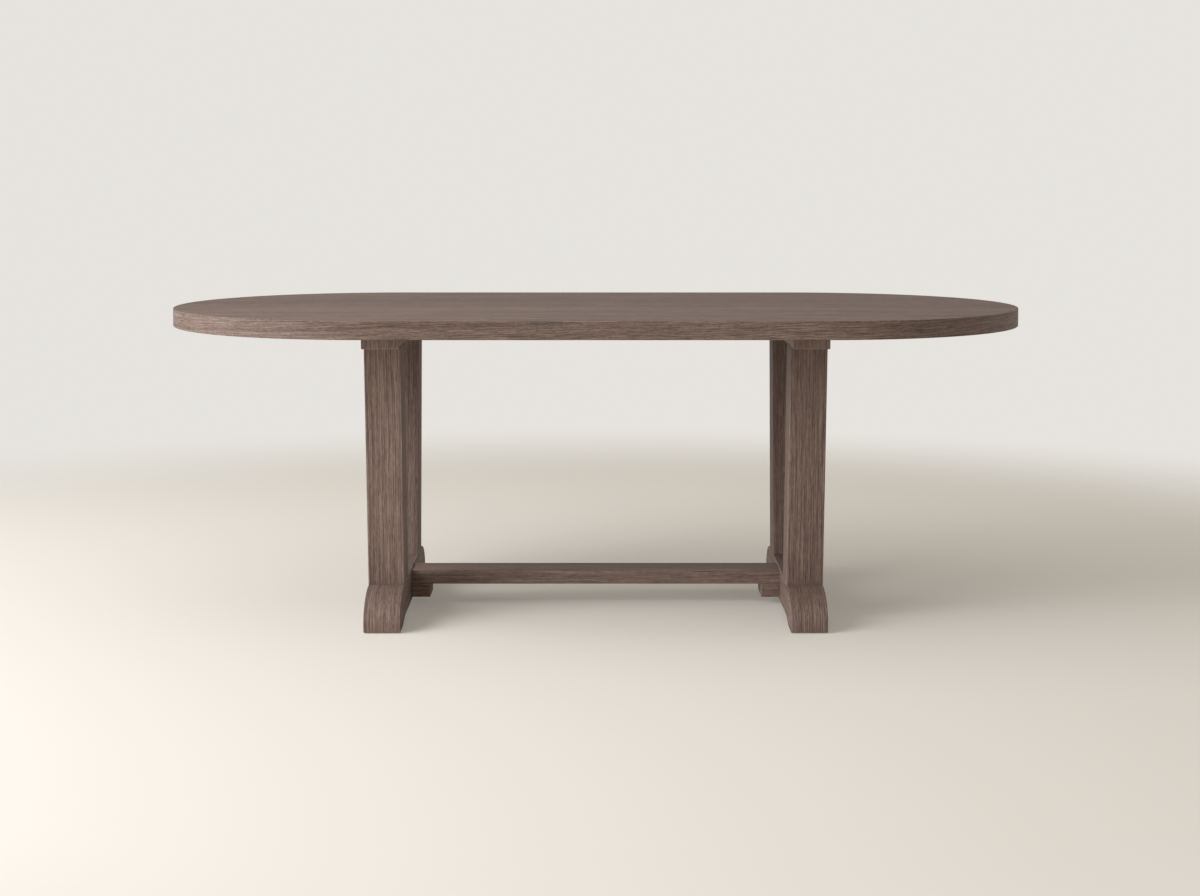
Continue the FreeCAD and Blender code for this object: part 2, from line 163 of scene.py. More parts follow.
class Graph:
    """Short calls that add nodes to one tree."""

    def __init__(self, tree):
        self.tree = tree

    def feed(self, socket, value):
        """Link an input to another node's output, or give it a plain value."""
        if isinstance(value, bpy.types.NodeSocket):
            self.tree.links.new(value, socket)
        else:
            socket.default_value = value

    def add(self, kind, inputs=None, **settings):
        """A node with its settings, and then its inputs by name or number."""
        node = self.tree.nodes.new(kind)
        for name, value in settings.items():
            setattr(node, name, value)
        for key, value in (inputs or {}).items():
            self.feed(node.inputs[key], value)
        return node

    def math(self, operation, *values):
        return self.add("ShaderNodeMath", dict(enumerate(values)), operation=operation).outputs[0]

    def times(self, first, second):
        return self.math("MULTIPLY", first, second)

    def sum(self, *terms):
        total = terms[0]
        for term in terms[1:]:
            total = self.math("ADD", total, term)
        return total

    def swing(self, value, reach):
        """A value about one half, turned into one about zero."""
        return self.times(self.math("SUBTRACT", value, 0.5), reach)

    def fade(self, value, start, end, low=0.0, high=1.0):
        """A soft change from low, where the value is start, to high, where it is end."""
        inputs = {0: value, 1: start, 2: end, 3: low, 4: high}
        return self.add("ShaderNodeMapRange", inputs, interpolation_type="SMOOTHSTEP").outputs[0]

    def joined(self, x=0.0, y=0.0, z=0.0):
        """A vector made of its three parts."""
        return self.add("ShaderNodeCombineXYZ", {0: x, 1: y, 2: z}).outputs[0]

    def parts(self, vector):
        """The three parts of a vector."""
        return self.add("ShaderNodeSeparateXYZ", {0: vector}).outputs

    def vector_math(self, operation, *vectors):
        return self.add("ShaderNodeVectorMath", dict(enumerate(vectors)), operation=operation).outputs[0]

    def texture(self, place, stretch, detail, roughness=0.5):
        """Noise with as many cells to the metre, along each axis, as stretch says."""
        inputs = {"Vector": self.vector_math("MULTIPLY", place, stretch), "Scale": 1.0, "Detail": detail,
                  "Roughness": roughness}
        return self.add("ShaderNodeTexNoise", inputs).outputs

    def noise(self, place, along, across, detail=2.0, roughness=0.5):
        """Noise that is stretched along the grain."""
        return self.texture(place, (along, across, across), detail, roughness)["Fac"]

    def drift(self, place, along, across, reach):
        """The place moved aside, slowly along the grain."""
        cloud = self.texture(place, (along, across, across), detail=1.0)["Color"]
        centred = self.vector_math("SUBTRACT", cloud, (0.5, 0.5, 0.5))
        return self.vector_math("MULTIPLY_ADD", centred, (0.0, reach, reach), place)

    def chance(self, number):
        """A random value, always the same for the same whole number."""
        return self.add("ShaderNodeTexWhiteNoise", {"W": number}, noise_dimensions="1D").outputs["Value"]

    def ramp(self, value, *stops):
        """A colour from the stops on either side of the value."""
        node = self.add("ShaderNodeValToRGB", {0: value})
        elements = node.color_ramp.elements
        while len(elements) < len(stops):
            elements.new(1.0)
        for element, (position, colour) in zip(elements, stops):
            element.position = position
            element.color = (*colour, 1.0)
        return node.outputs[0]

    def blend(self, share, first, second):
        """A colour with a share of a plain second one over it."""
        inputs = {0: share, 6: first, 7: (*second, 1.0)}
        return self.add("ShaderNodeMix", inputs, data_type="RGBA").outputs[2]

    def mix(self, share, first, second):
        """A shader with a share of a second one over it."""
        return self.add("ShaderNodeMixShader", {0: share, 1: first, 2: second}).outputs[0]

    def marked(self, name):
        """What a mesh carries under a name, as a shader reads it."""
        return self.add("ShaderNodeAttribute", attribute_name=name).outputs

    def store(self, geometry, name, value, kind, domain="POINT"):
        """The geometry with a value kept on it under a name."""
        inputs = {"Geometry": geometry, "Name": name, "Value": value}
        return self.add("GeometryNodeStoreNamedAttribute", inputs, data_type=kind, domain=domain).outputs[0]

    def stored(self, name, kind):
        """What a geometry carries under a name, as a geometry tree reads it."""
        return self.add("GeometryNodeInputNamedAttribute", {"Name": name}, data_type=kind).outputs[0]


def new_material(name):
    """An empty material and the calls that fill it."""
    material = bpy.data.materials.new(name)
    material.use_nodes = True
    material.node_tree.nodes.clear()
    return material, Graph(material.node_tree)


def object_place(graph):
    """Where a point lies in its own object."""
    return graph.add("ShaderNodeTexCoord").outputs["Object"]


def surface(graph, colour, roughness, height, lift, **settings):
    """A coated surface with its relief, joined to the material's output."""
    relief = graph.add("ShaderNodeBump", {"Height": height, "Distance": lift, "Strength": 1.0}).outputs[0]
    inputs = {"Base Color": colour, "Roughness": roughness, "Normal": relief}
    inputs.update({key.replace("_", " "): value for key, value in settings.items()})
    shader = graph.add("ShaderNodeBsdfPrincipled", inputs)
    graph.add("ShaderNodeOutputMaterial", {"Surface": shader.outputs[0]})


def slipped_leaves(graph, place, leaf_width):
    """The place in leaves of veneer that are slipped along and across the log, and each leaf's tone."""
    along, across, through = graph.parts(place)
    chance = graph.chance(graph.math("FLOOR", graph.math("DIVIDE", across, leaf_width)))
    along = graph.sum(along, graph.times(chance, leaf_slip))
    return graph.joined(along, graph.sum(across, chance), through), graph.swing(chance, leaf_share)


def growth_rings(graph, place, ring_width):
    """The tone of each ring round the heart of the log, and the early wood in it."""
    _, across, through = graph.parts(place)
    reach = graph.math("SQRT", graph.sum(graph.times(across, across), graph.times(through, through)))
    uneven = graph.add("ShaderNodeTexNoise", {"W": reach, "Scale": ring_cells, "Detail": 1.0},
                       noise_dimensions="1D").outputs["Fac"]
    ring = graph.sum(graph.math("DIVIDE", reach, ring_width), graph.swing(uneven, ring_swing))
    phase = graph.math("FRACT", ring)
    early = graph.times(graph.fade(phase, start=0.0, end=0.12), graph.fade(phase, start=0.55, end=0.15))
    return graph.chance(graph.math("FLOOR", ring)), early


def oak(name, ring_width, wander, line_length, plain_tone, contrast, dullness, leaf_width=0.0):
    """Open-grained oak under a grey-brown stain and a matt lacquer."""
    material, graph = new_material(name)
    place = graph.marked("grain")["Vector"]
    leaf_tone = 0.0
    if leaf_width:
        place, leaf_tone = slipped_leaves(graph, place, leaf_width)
    place = graph.drift(place, along=1.8, across=5.0, reach=wander)

    ring_tone, early = growth_rings(graph, place, ring_width)
    broad = graph.noise(place, along=0.8, across=12.0, detail=1.0)
    streak = graph.noise(place, along=1.0 / line_length, across=330.0, roughness=0.6)
    fleck = graph.noise(place, along=11.0 / line_length, across=430.0, detail=1.0)
    fibre = graph.noise(place, along=3.0 / line_length, across=700.0, roughness=0.6)
    dash = graph.noise(place, along=40.0, across=950.0, detail=1.0)
    open_pore = graph.fade(dash, start=0.54, end=0.68)
    pores = graph.times(open_pore, graph.fade(early, start=0.0, end=1.0, low=0.35, high=1.0))

    figures = ((broad, broad_share), (streak, streak_share), (fleck, fleck_share), (fibre, fibre_share),
               (ring_tone, ring_share))
    tone = graph.sum(plain_tone, leaf_tone, graph.marked("tone")["Fac"],
                     *(graph.swing(figure, share * contrast) for figure, share in figures),
                     graph.times(early, early_share * contrast))
    colour = graph.ramp(tone, (0.08, dark_stain), (0.5, mid_stain), (0.92, light_stain))
    colour = graph.blend(graph.times(pores, pore_cover), colour, pore_stain)
    cloud = graph.noise(place, along=4.0, across=40.0)
    patches = graph.fade(cloud, start=0.35, end=0.65, low=0.05, high=0.35)
    # eased edges lightened in patches: stain thinned by rubbing, and a painted highlight along the arrises
    rubbing_and_highlight = graph.times(graph.marked("wear")["Fac"], patches)
    colour = graph.blend(rubbing_and_highlight, colour, rubbed_and_highlight_stain)

    roughness = graph.sum(dullness, graph.swing(fibre, fibre_roughness), graph.times(pores, pore_roughness),
                          graph.times(rubbing_and_highlight, rubbed_roughness))
    height = graph.math("SUBTRACT", graph.swing(fibre, fibre_relief), open_pore)
    surface(graph, colour, roughness, height, lift=0.0001, Specular_IOR_Level=lacquer_gloss)
    return material


def fibreboard():
    """Raw board of pressed fibres, flecked and a little cloudy."""
    material, graph = new_material("core_board")
    place = object_place(graph)
    fleck = graph.noise(place, along=900.0, across=900.0, detail=3.0, roughness=0.7)
    cloud = graph.noise(place, along=25.0, across=25.0)
    tone = graph.sum(middle_tone, graph.swing(fleck, reach=1.2), graph.swing(cloud, reach=0.4))
    colour = graph.ramp(tone, (0.1, board_dark), (0.5, board_mid), (0.9, board_light))
    roughness = graph.fade(fleck, start=0.3, end=0.7, low=0.72, high=0.92)
    surface(graph, colour, roughness, fleck, lift=0.00015)
    return material


def turned_metal(name, dull, bright, plain_roughness):
    """A plated or turned metal with fine tool lines and a mottled bloom."""
    material, graph = new_material(name)
    place = object_place(graph)
    bloom = graph.noise(place, along=260.0, across=260.0, detail=3.0, roughness=0.6)
    lines = graph.texture(place, stretch=(60.0, 60.0, 9000.0), detail=1.0)["Fac"]
    tone = graph.sum(middle_tone, graph.swing(bloom, reach=1.4), graph.swing(lines, reach=0.4))
    colour = graph.ramp(tone, (0.1, dull), (0.9, bright))
    roughness = graph.sum(plain_roughness, graph.swing(bloom, reach=0.25), graph.swing(lines, reach=0.12))
    surface(graph, colour, roughness, lines, lift=0.00002, Metallic=1.0)
    return material


def beech():
    """Raw beech with its short dark flecks."""
    material, graph = new_material("dowel_beech")
    place = object_place(graph)
    fibre = graph.noise(place, along=30.0, across=600.0, detail=3.0, roughness=0.6)
    fleck = graph.fade(graph.noise(place, along=160.0, across=1400.0, detail=1.0), start=0.58, end=0.7)
    tone = graph.sum(middle_tone, graph.swing(fibre, reach=1.3), graph.times(fleck, beech_fleck_share))
    colour = graph.ramp(tone, (0.1, beech_dark), (0.5, beech_mid), (0.9, beech_light))
    roughness = graph.fade(fibre, start=0.3, end=0.7, low=0.6, high=0.75)
    surface(graph, colour, roughness, fibre, lift=0.00008)
    return material


def nylon():
    """Dark moulded nylon, fine-grained and scuffed by the floor."""
    material, graph = new_material("glide_nylon")
    place = object_place(graph)
    grain = graph.noise(place, along=1500.0, across=1500.0)
    scratch = graph.noise(place, along=900.0, across=140.0, detail=3.0, roughness=0.7)
    scuff = graph.fade(scratch, start=0.58, end=0.75)
    colour = graph.ramp(grain, (0.3, nylon_dark), (0.7, nylon_light))
    colour = graph.blend(graph.times(scuff, scuff_cover), colour, nylon_scuff)
    roughness = graph.fade(scuff, start=0.0, end=1.0, low=0.42, high=0.65)
    surface(graph, colour, roughness, grain, lift=0.00003)
    return material


finishes = {
    "stained_oak": oak("stained_oak", ring_width=0.0052, wander=0.011, line_length=0.16, plain_tone=0.50,
                       contrast=1.0, dullness=0.74),
    "oak_veneer": oak("oak_veneer", ring_width=0.0040, wander=0.014, line_length=0.30, plain_tone=0.43,
                      contrast=1.4, dullness=0.78, leaf_width=0.178),
    "core_board": fibreboard(),
    "plated_steel": turned_metal("plated_steel", steel_dull, steel_bright, plain_roughness=0.34),
    "insert_brass": turned_metal("insert_brass", brass_dull, brass_bright, plain_roughness=0.30),
    "dowel_beech": beech(),
    "glide_nylon": nylon(),
}


def add_piece(name, mesh, slot, node):
    """Put a finished mesh in the scene in place of the node it stands for."""
    if not mesh.materials:
        mesh.materials.append(finishes[slot])
    piece = bpy.data.objects.new(name, mesh)
    bpy.context.scene.collection.objects.link(piece)
    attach(piece, "root")
    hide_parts(node)


def carrier_of(mesh):
    """An object that holds a mesh while modifiers work on it."""
    carrier = bpy.data.objects.new(mesh.name, mesh)
    bpy.context.scene.collection.objects.link(carrier)
    return carrier


def discard(carrier):
    """Take a carrier and its mesh out of the scene."""
    spent = carrier.data
    bpy.data.objects.remove(carrier)
    bpy.data.meshes.remove(spent)


def evaluated(carrier):
    """The plain mesh that a carrier and its modifiers make, under the carrier's name."""
    graph = bpy.context.evaluated_depsgraph_get()
    mesh = bpy.data.meshes.new_from_object(carrier.evaluated_get(graph), preserve_all_data_layers=True,
                                           depsgraph=graph)
    name = carrier.name
    discard(carrier)
    mesh.name = name
    return mesh


def smoothed(mesh):
    """Soft shading over the eased edges, with the flat faces left flat."""
    mesh.shade_smooth()
    mesh.set_sharp_from_angle(angle=smooth_angle)
    carrier = carrier_of(mesh)
    weighting = carrier.modifiers.new("flat_faces", "WEIGHTED_NORMAL")
    weighting.keep_sharp = True
    return evaluated(carrier)


def mark_grain(mesh, place_in_log):
    """Store where each point lies in the log that its board was cut from."""
    grain = mesh.attributes.new("grain", "FLOAT_VECTOR", "POINT")
    for point, vertex in zip(grain.data, mesh.vertices):
        point.vector = place_in_log(vertex.co)


def mark_wear_and_highlight(mesh, wear_and_highlight_at):
    """Store how much each point is lightened on its eased edge, partly by rubbing and partly as a painted
    highlight.
    """
    wear = mesh.attributes.new("wear", "FLOAT", "POINT")
    for share, vertex in zip(wear.data, mesh.vertices):
        share.value = wear_and_highlight_at(vertex.co)


def mark_tone(mesh, tone):
    """Store how much lighter than the others this board is."""
    for share in mesh.attributes.new("tone", "FLOAT", "POINT").data:
        share.value = tone


def oak_piece(node, mesh, place_in_log, tone=0.0):
    """Finish a solid oak piece and put it in place of its node."""
    mesh = smoothed(mesh)
    mark_grain(mesh, place_in_log)
    mark_tone(mesh, tone)
    add_piece("oak_" + node, mesh, "stained_oak", node)


def skin(name, rings, capped=True):
    """A closed mesh over a run of like rings, each point with its share of edge lightening, partly rubbing
    and partly painted highlight.
    """
    form = bmesh.new()
    wear = form.verts.layers.float.new("wear")
    rows = []
    for ring in rings:
        row = []
        for point, worn_and_highlight in ring:
            vertex = form.verts.new(point)
            vertex[wear] = worn_and_highlight
            row.append(vertex)
        rows.append(row)
    pairs = list(zip(rows, rows[1:]))
    if capped:
        form.faces.new(rows[0])
        form.faces.new(rows[-1])
    else:
        pairs.append((rows[-1], rows[0]))
    for row, after in pairs:
        for k in range(len(row)):
            form.faces.new((row[k - 1], row[k], after[k], after[k - 1]))
    bmesh.ops.recalc_face_normals(form, faces=form.faces)
    mesh = bpy.data.meshes.new(name)
    form.to_mesh(mesh)
    form.free()
    return mesh


def rounded(corners, radius):
    """An outline with each corner eased round, as (first, second, share of edge lightening from rubbing and
    painted highlight).
    """
    outline = []
    for k, corner in enumerate(corners):
        corner = Vector(corner)
        before = corner + (Vector(corners[k - 1]) - corner).normalized() * radius
        after = corner + (Vector(corners[(k + 1) % len(corners)]) - corner).normalized() * radius
        for step in range(arc_steps + 1):
            t = step / arc_steps
            bend = before * (1 - t) ** 2 + corner * 2 * t * (1 - t) + after * t ** 2
            outline.append((bend.x, bend.y, math.sin(math.pi * t)))
    return outline


def inset(outline, distance):
    """The outline moved inward; it runs counter-clockwise."""
    moved = []
    for k, (a, b, worn_and_highlight) in enumerate(outline):
        here = Vector((a, b))
        back = (here - Vector(outline[k - 1][:2])).normalized()
        ahead = (Vector(outline[(k + 1) % len(outline)][:2]) - here).normalized()
        first, second = Vector((back.y, -back.x)), Vector((ahead.y, -ahead.x))
        moved.append((*(here - (first + second) / (1 + first.dot(second)) * distance), worn_and_highlight))
    return moved


def eased_prism(name, outline, low, high, ease, place):
    """The outline carried from low to high with both rims eased."""
    turns = [math.pi / 2 * step / arc_steps for step in range(arc_steps + 1)]
    stations = [(low + ease * (1 - math.cos(turn)), turn) for turn in turns]
    stations += [(high - ease * (1 - math.cos(turn)), turn) for turn in reversed(turns)]
    rings = []
    for reach, turn in stations:
        ring = inset(outline, ease * (1 - math.sin(turn)))
        rings.append([(place(reach, a, b), max(worn_and_highlight, math.sin(2 * turn))) for a, b, worn_and_highlight in ring])
    return skin(name, rings)


def along_x(x, y, z):
    """The place of an outline in Y and Z that is carried along X."""
    return Vector((x, y, z))


def box_outline(low, high, radius):
    """The outline in Y and Z of a box with rounded corners."""
    return rounded([(low.y, low.z), (high.y, low.z), (high.y, high.z), (low.y, high.z)], radius)


def solids_of(node):
    """The low and high corner of each solid in a node of the frame."""
    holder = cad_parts[node]
    form = bmesh.new()
    form.from_mesh(holder.data)
    form.transform(holder.matrix_world)
    bmesh.ops.remove_doubles(form, verts=form.verts, dist=same_point)
    reached, corners = set(), []
    for start in form.verts:
        if start in reached:
            continue
        reached.add(start)
        front, solid = [start], []
        while front:
            vertex = front.pop()
            solid.append(vertex.co.copy())
            for edge in vertex.link_edges:
                other = edge.other_vert(vertex)
                if other not in reached:
                    reached.add(other)
                    front.append(other)
        corners.append((Vector(map(min, zip(*solid))), Vector(map(max, zip(*solid)))))
    form.free()
    return corners


def solids_between(node, low, high):
    """The solids of a node whose low corners lie between two others along X."""
    return [solid for solid in solids_of(node) if low.x < solid[0].x < high.x]


def foot_of(solid):
    """The middle of the underside of a solid, from its corners."""
    low, high = solid
    return Vector(((low.x + high.x) / 2, (low.y + high.y) / 2, low.z))


def round_size(solid):
    """The radius and the height of an upright round solid, from its corners."""
    low, high = solid
    return (high.x - low.x) / 2, high.z - low.z


def depth_at(node, height):
    """The span in Y of a node's points at one height."""
    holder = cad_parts[node]
    points = [holder.matrix_world @ vertex.co for vertex in holder.data.vertices]
    level = [point.y for point in points if abs(point.z - height) < same_level]
    return min(level), max(level)


def new_tree(name, inputs):
    """The calls that fill a new geometry tree, and its inputs by name."""
    tree = bpy.data.node_groups.new(name, "GeometryNodeTree")
    tree.interface.new_socket("Geometry", in_out="INPUT", socket_type="NodeSocketGeometry")
    for label, kind in inputs.items():
        tree.interface.new_socket(label, in_out="INPUT", socket_type="NodeSocket" + kind)
    tree.interface.new_socket("Geometry", in_out="OUTPUT", socket_type="NodeSocketGeometry")
    graph = Graph(tree)
    return graph, graph.add("NodeGroupInput").outputs


def close_tree(graph, geometry, material):
    """End a tree in plain geometry with its material."""
    whole = graph.add("GeometryNodeRealizeInstances", {0: geometry}).outputs[0]
    dressed = graph.add("GeometryNodeSetMaterial", {0: whole, "Material": material}).outputs[0]
    graph.add("NodeGroupOutput", {0: dressed})
    return graph.tree


def carrier_with(mesh, tree, settings):
    """An object whose shape the tree makes from the named settings."""
    carrier = carrier_of(mesh)
    modifier = carrier.modifiers.new(tree.name, "NODES")
    modifier.node_group = tree
    for item in tree.interface.items_tree:
        if item.in_out == "INPUT" and item.name in settings:
            modifier[item.identifier] = settings[item.name]
    return carrier


def sheet_tree():
    """A flat sheet with straight long sides and half-round ends, one rim marked for easing."""
    graph, given = new_tree("racetrack_sheet", {
        "Length": "Float", "Width": "Float", "Bottom": "Float", "Thickness": "Float", "Eased Side": "Float",
        "Round Steps": "Int", "Material": "Material"})
    oblong = graph.add("GeometryNodeCurvePrimitiveQuadrilateral",
                       {"Width": given["Length"], "Height": given["Width"]}).outputs[0]
    rim = graph.add("GeometryNodeFilletCurve",
                    {"Curve": oblong, "Radius": graph.times(given["Width"], 0.5), "Limit Radius": True,
                     "Count": given["Round Steps"]}, mode="POLY").outputs[0]
    face = graph.add("GeometryNodeFillCurve", {"Curve": rim}, mode="NGONS").outputs[0]
    lower = graph.add("GeometryNodeTransform",
                      {"Geometry": face, "Translation": graph.joined(z=given["Bottom"])}).outputs[0]
    raised = graph.add("GeometryNodeExtrudeMesh",
                       {"Mesh": lower, "Offset": (0.0, 0.0, 1.0), "Offset Scale": given["Thickness"],
                        "Individual": False}).outputs[0]
    under = graph.add("GeometryNodeFlipFaces", {"Mesh": lower}).outputs[0]
    both = graph.add("GeometryNodeJoinGeometry")
    graph.feed(both.inputs[0], raised)
    graph.feed(both.inputs[0], under)
    closed = graph.add("GeometryNodeMergeByDistance",
                       {"Geometry": both.outputs[0], "Distance": weld_distance}).outputs[0]

    height = graph.parts(graph.add("GeometryNodeInputPosition").outputs[0])[2]
    middle = graph.sum(given["Bottom"], graph.times(given["Thickness"], 0.5))
    side = graph.times(graph.math("SUBTRACT", height, middle), given["Eased Side"])
    eased = graph.math("GREATER_THAN", side, graph.times(given["Thickness"], 0.25))
    ready = graph.store(closed, "bevel_weight_edge", eased, "FLOAT", domain="EDGE")
    return close_tree(graph, ready, given["Material"])


def band_path(graph, given):
    """The line that a band follows, straight or bent, with the distance run along it."""
    aside = graph.times(graph.times(given["Straight Length"], 0.5), given["Side"])
    outward = graph.times(given["Rim Radius"], given["Side"])
    start = graph.joined(aside, outward, given["Bottom"])
    end = graph.joined(graph.times(aside, -1.0), outward, given["Bottom"])
    line = graph.add("GeometryNodeCurvePrimitiveLine", {"Start": start, "End": end}).outputs[0]
    straight = graph.add("GeometryNodeResampleCurve", {"Curve": line, "Count": given["Steps"]}).outputs[0]
    turn = graph.times(given["Side"], -math.pi / 2)
    arc = graph.add("GeometryNodeCurveArc",
                    {"Resolution": given["Steps"], "Radius": given["Rim Radius"], "Start Angle": turn,
                     "Sweep Angle": math.pi}).outputs[0]
    centre = graph.joined(aside, z=given["Bottom"])
    bent = graph.add("GeometryNodeTransform", {"Geometry": arc, "Translation": centre}).outputs[0]
    path = graph.add("GeometryNodeSwitch", {"Switch": given["Bent"], "False": straight, "True": bent},
                     input_type="GEOMETRY").outputs[0]
    run = graph.add("GeometryNodeSplineParameter").outputs["Length"]
    return graph.store(path, "run", run, "FLOAT")


def band_section(graph, given):
    """The band's section with its outer lower corner on the path, and the place of each point in it."""
    oblong = graph.add("GeometryNodeCurvePrimitiveQuadrilateral",
                       {"Width": given["Thickness"], "Height": given["Height"]}).outputs[0]
    shift = graph.joined(graph.times(given["Thickness"], -0.5), graph.times(given["Height"], -0.5))
    section = graph.add("GeometryNodeTransform", {"Geometry": oblong, "Translation": shift}).outputs[0]
    spot = graph.add("GeometryNodeInputPosition").outputs[0]
    return graph.store(section, "section", spot, "FLOAT_VECTOR")


def band_tree():
    """A length of edge band swept along one side or round one end of the top."""
    graph, given = new_tree("edge_band", {
        "Bent": "Bool", "Side": "Float", "Straight Length": "Float", "Rim Radius": "Float",
        "Thickness": "Float", "Height": "Float", "Bottom": "Float", "Steps": "Int", "Log Place": "Vector",
        "Grain Slope": "Float", "Grain Rate": "Float", "Material": "Material"})
    swept = graph.add("GeometryNodeCurveToMesh",
                      {"Curve": band_path(graph, given), "Profile Curve": band_section(graph, given),
                       "Fill Caps": True}).outputs[0]
    run = graph.stored("run", "FLOAT")
    outward, down, _ = graph.parts(graph.stored("section", "FLOAT_VECTOR"))
    place = graph.joined(graph.times(run, given["Grain Rate"]), outward,
                         graph.math("MULTIPLY_ADD", run, given["Grain Slope"], down))
    place = graph.vector_math("ADD", place, given["Log Place"])
    plain = graph.store(swept, "grain", place, "FLOAT_VECTOR")
    for label in ("run", "section"):
        plain = graph.add("GeometryNodeRemoveAttribute", {"Geometry": plain, "Name": label}).outputs[0]
    return close_tree(graph, plain, given["Material"])


def fitting_tree():
    """One fitting set out on every point of the carrier."""
    graph, given = new_tree("set_out_fittings", {"Fitting": "Object", "Material": "Material"})
    fitting = graph.add("GeometryNodeObjectInfo", {"Object": given["Fitting"]}).outputs["Geometry"]
    copies = graph.add("GeometryNodeInstanceOnPoints",
                       {"Points": given["Geometry"], "Instance": fitting}).outputs[0]
    return close_tree(graph, copies, given["Material"])


# The top: two veneers and four lengths of edge band
face_low, face_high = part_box("face_veneer")
band_low, band_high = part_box("front_edge_band")
top_length = 2 * cad_high.x
rim_radius = (face_high.y - face_low.y) / 2
straight_length = top_length - 2 * rim_radius
end_length = math.pi * rim_radius
sheet = sheet_tree()
band = band_tree()


def rim_wear_and_highlight(spot):
    """Edge lightening of a veneer, partly rubbing and partly painted highlight, most in the middle of its
    eased rim.
    """
    beyond = max(abs(spot.x) - straight_length / 2, 0.0)
    depth = rim_radius - math.hypot(beyond, spot.y)
    return math.sin(math.pi * min(max(depth / veneer_arris, 0.0), 1.0))


def lay_veneer(node, eased_side):
    """A sheet of veneer with its rim eased above (1) or below (-1)."""
    low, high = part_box(node)
    carrier = carrier_with(bpy.data.meshes.new("oak_" + node), sheet, {
        "Length": top_length, "Width": 2 * rim_radius, "Bottom": low.z, "Thickness": high.z - low.z,
        "Eased Side": eased_side, "Round Steps": round_steps, "Material": finishes["oak_veneer"]})
    easing = carrier.modifiers.new("eased_rim", "BEVEL")
    easing.limit_method = "WEIGHT"
    easing.width = veneer_arris
    easing.segments = arc_steps
    mesh = smoothed(evaluated(carrier))
    mark_grain(mesh, lambda spot: (spot.x, spot.y + veneer_across, veneer_through))
    mark_wear_and_highlight(mesh, rim_wear_and_highlight)
    add_piece(mesh.name, mesh, "oak_veneer", node)


def lay_band(node, is_bent, side, run_start):
    """A length of edge band whose grain carries on from run_start round the rim."""
    carrier = carrier_with(bpy.data.meshes.new("oak_" + node), band, {
        "Bent": is_bent, "Side": side, "Straight Length": straight_length, "Rim Radius": rim_radius,
        "Thickness": band_high.y - band_low.y, "Height": band_high.z - band_low.z, "Bottom": band_low.z,
        "Steps": 2 * round_steps + 1 if is_bent else 2,
        "Log Place": (grain_rate * run_start, band_across, band_through + grain_slope * run_start),
        "Grain Slope": grain_slope, "Grain Rate": grain_rate, "Material": finishes["stained_oak"]})
    mesh = evaluated(carrier)
    mark_wear_and_highlight(mesh, lambda spot: 0.0)
    mark_tone(mesh, band_tone)
    add_piece(mesh.name, smoothed(mesh), "stained_oak", node)


lay_veneer("face_veneer", 1.0)
lay_veneer("backing_veneer", -1.0)
lay_band("left_edge_band", True, -1.0, 0.0)
lay_band("front_edge_band", False, -1.0, end_length)
lay_band("right_edge_band", True, 1.0, end_length + straight_length)
lay_band("back_edge_band", False, 1.0, 2 * end_length + straight_length)


# Turned fittings, and the counterbores that take them
fittings = fitting_tree()


def round_ring(angle):
    """Reach of a round ring, the same at every angle."""
    return 1.0


def hexagon_ring(angle):
    """Reach of a six-sided ring whose flats lie at a radius of one."""
    return 1.0 / math.cos(angle % (math.pi / 3) - math.pi / 6)


def cross_ring(angle):
    """Reach of a ring with four arms that end at a radius of one."""
    return 1.0 - screw_slot_waist * abs(math.sin(2 * angle))


def ring_at(radius, height, shape):
    """The points of one ring about the Z axis, with no wear."""
    ring = []
    for step in range(turn_steps):
        angle = 2 * math.pi * step / turn_steps
        reach = radius * shape(angle)
        ring.append((Vector((reach * math.cos(angle), reach * math.sin(angle), height)), 0.0))
    # The points of one ring about the Z axis, with no edge lightening.
    return ring


def turned(name, profile, socket=(), socket_shape=round_ring, capped=True):
    """A fitting that starts inside its socket and goes on round, ring by (radius, height) ring."""
    rings = [ring_at(radius, height, socket_shape) for radius, height in socket]
    rings += [ring_at(radius, height, round_ring) for radius, height in profile]
    return skin(name, rings, capped)


def set_out(name, places, fitting, slot):
    """Copies of a fitting at the places, as one mesh."""
    points = bpy.data.meshes.new(name)
    points.from_pydata(places, [], [])
    template = carrier_of(fitting)
    mesh = evaluated(carrier_with(points, fittings, {"Fitting": template, "Material": finishes[slot]}))
    discard(template)
    return mesh


def fit(name, fitting, slot, node):
    """A piece with one fitting at the foot of each solid of its node."""
    mesh = set_out(name, [foot_of(solid) for solid in solids_of(node)], fitting, slot)
    add_piece(name, smoothed(mesh), slot, node)


def counterbored(mesh, washers):
    """Cut the round recesses that the washers and bolt heads sit in."""
    radius, thickness = round_size(washers[0])
    seat = washers[0][1].z
    depth = seat - min(vertex.co.z for vertex in mesh.vertices) + arris
    wall = radius + counterbore_room
    plug = turned("plug", [(wall, -depth), (wall, 0.0)])
    places = [foot_of(solid) + Vector((0.0, 0.0, thickness)) for solid in washers]
    cutter = carrier_of(set_out("plugs", places, plug, "stained_oak"))
    carrier = carrier_of(mesh)
    cut = carrier.modifiers.new("counterbores", "BOOLEAN")
    cut.object = cutter
    cut.solver = "EXACT"
    mesh = evaluated(carrier)
    discard(cutter)
    return mesh


# The two trestles
def wrapped(low, high, along):
    """Place in a board whose lines run over its top and down its front and back ends."""
    def place_in_log(spot):
        drop = high.z - spot.z
        if min(spot.x - low.x, high.x - spot.x) < same_level:
            return spot.y + along, spot.x + rail_across, drop + rail_through
        return spot.y + math.copysign(drop, spot.y) + along, spot.x + rail_across, rail_through
    return place_in_log


def make_bearer(side, along):
    """The rail under the top, bored from below for its bolts."""
    node = side + "_bearer"
    low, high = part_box(node)
    mesh = eased_prism(node + "_form", box_outline(low, high, end_arris), low.x, high.x, arris, along_x)
    mesh = counterbored(mesh, solids_between("top_washers", low, high))
    oak_piece(node, mesh, wrapped(low, high, along), bearer_tone)


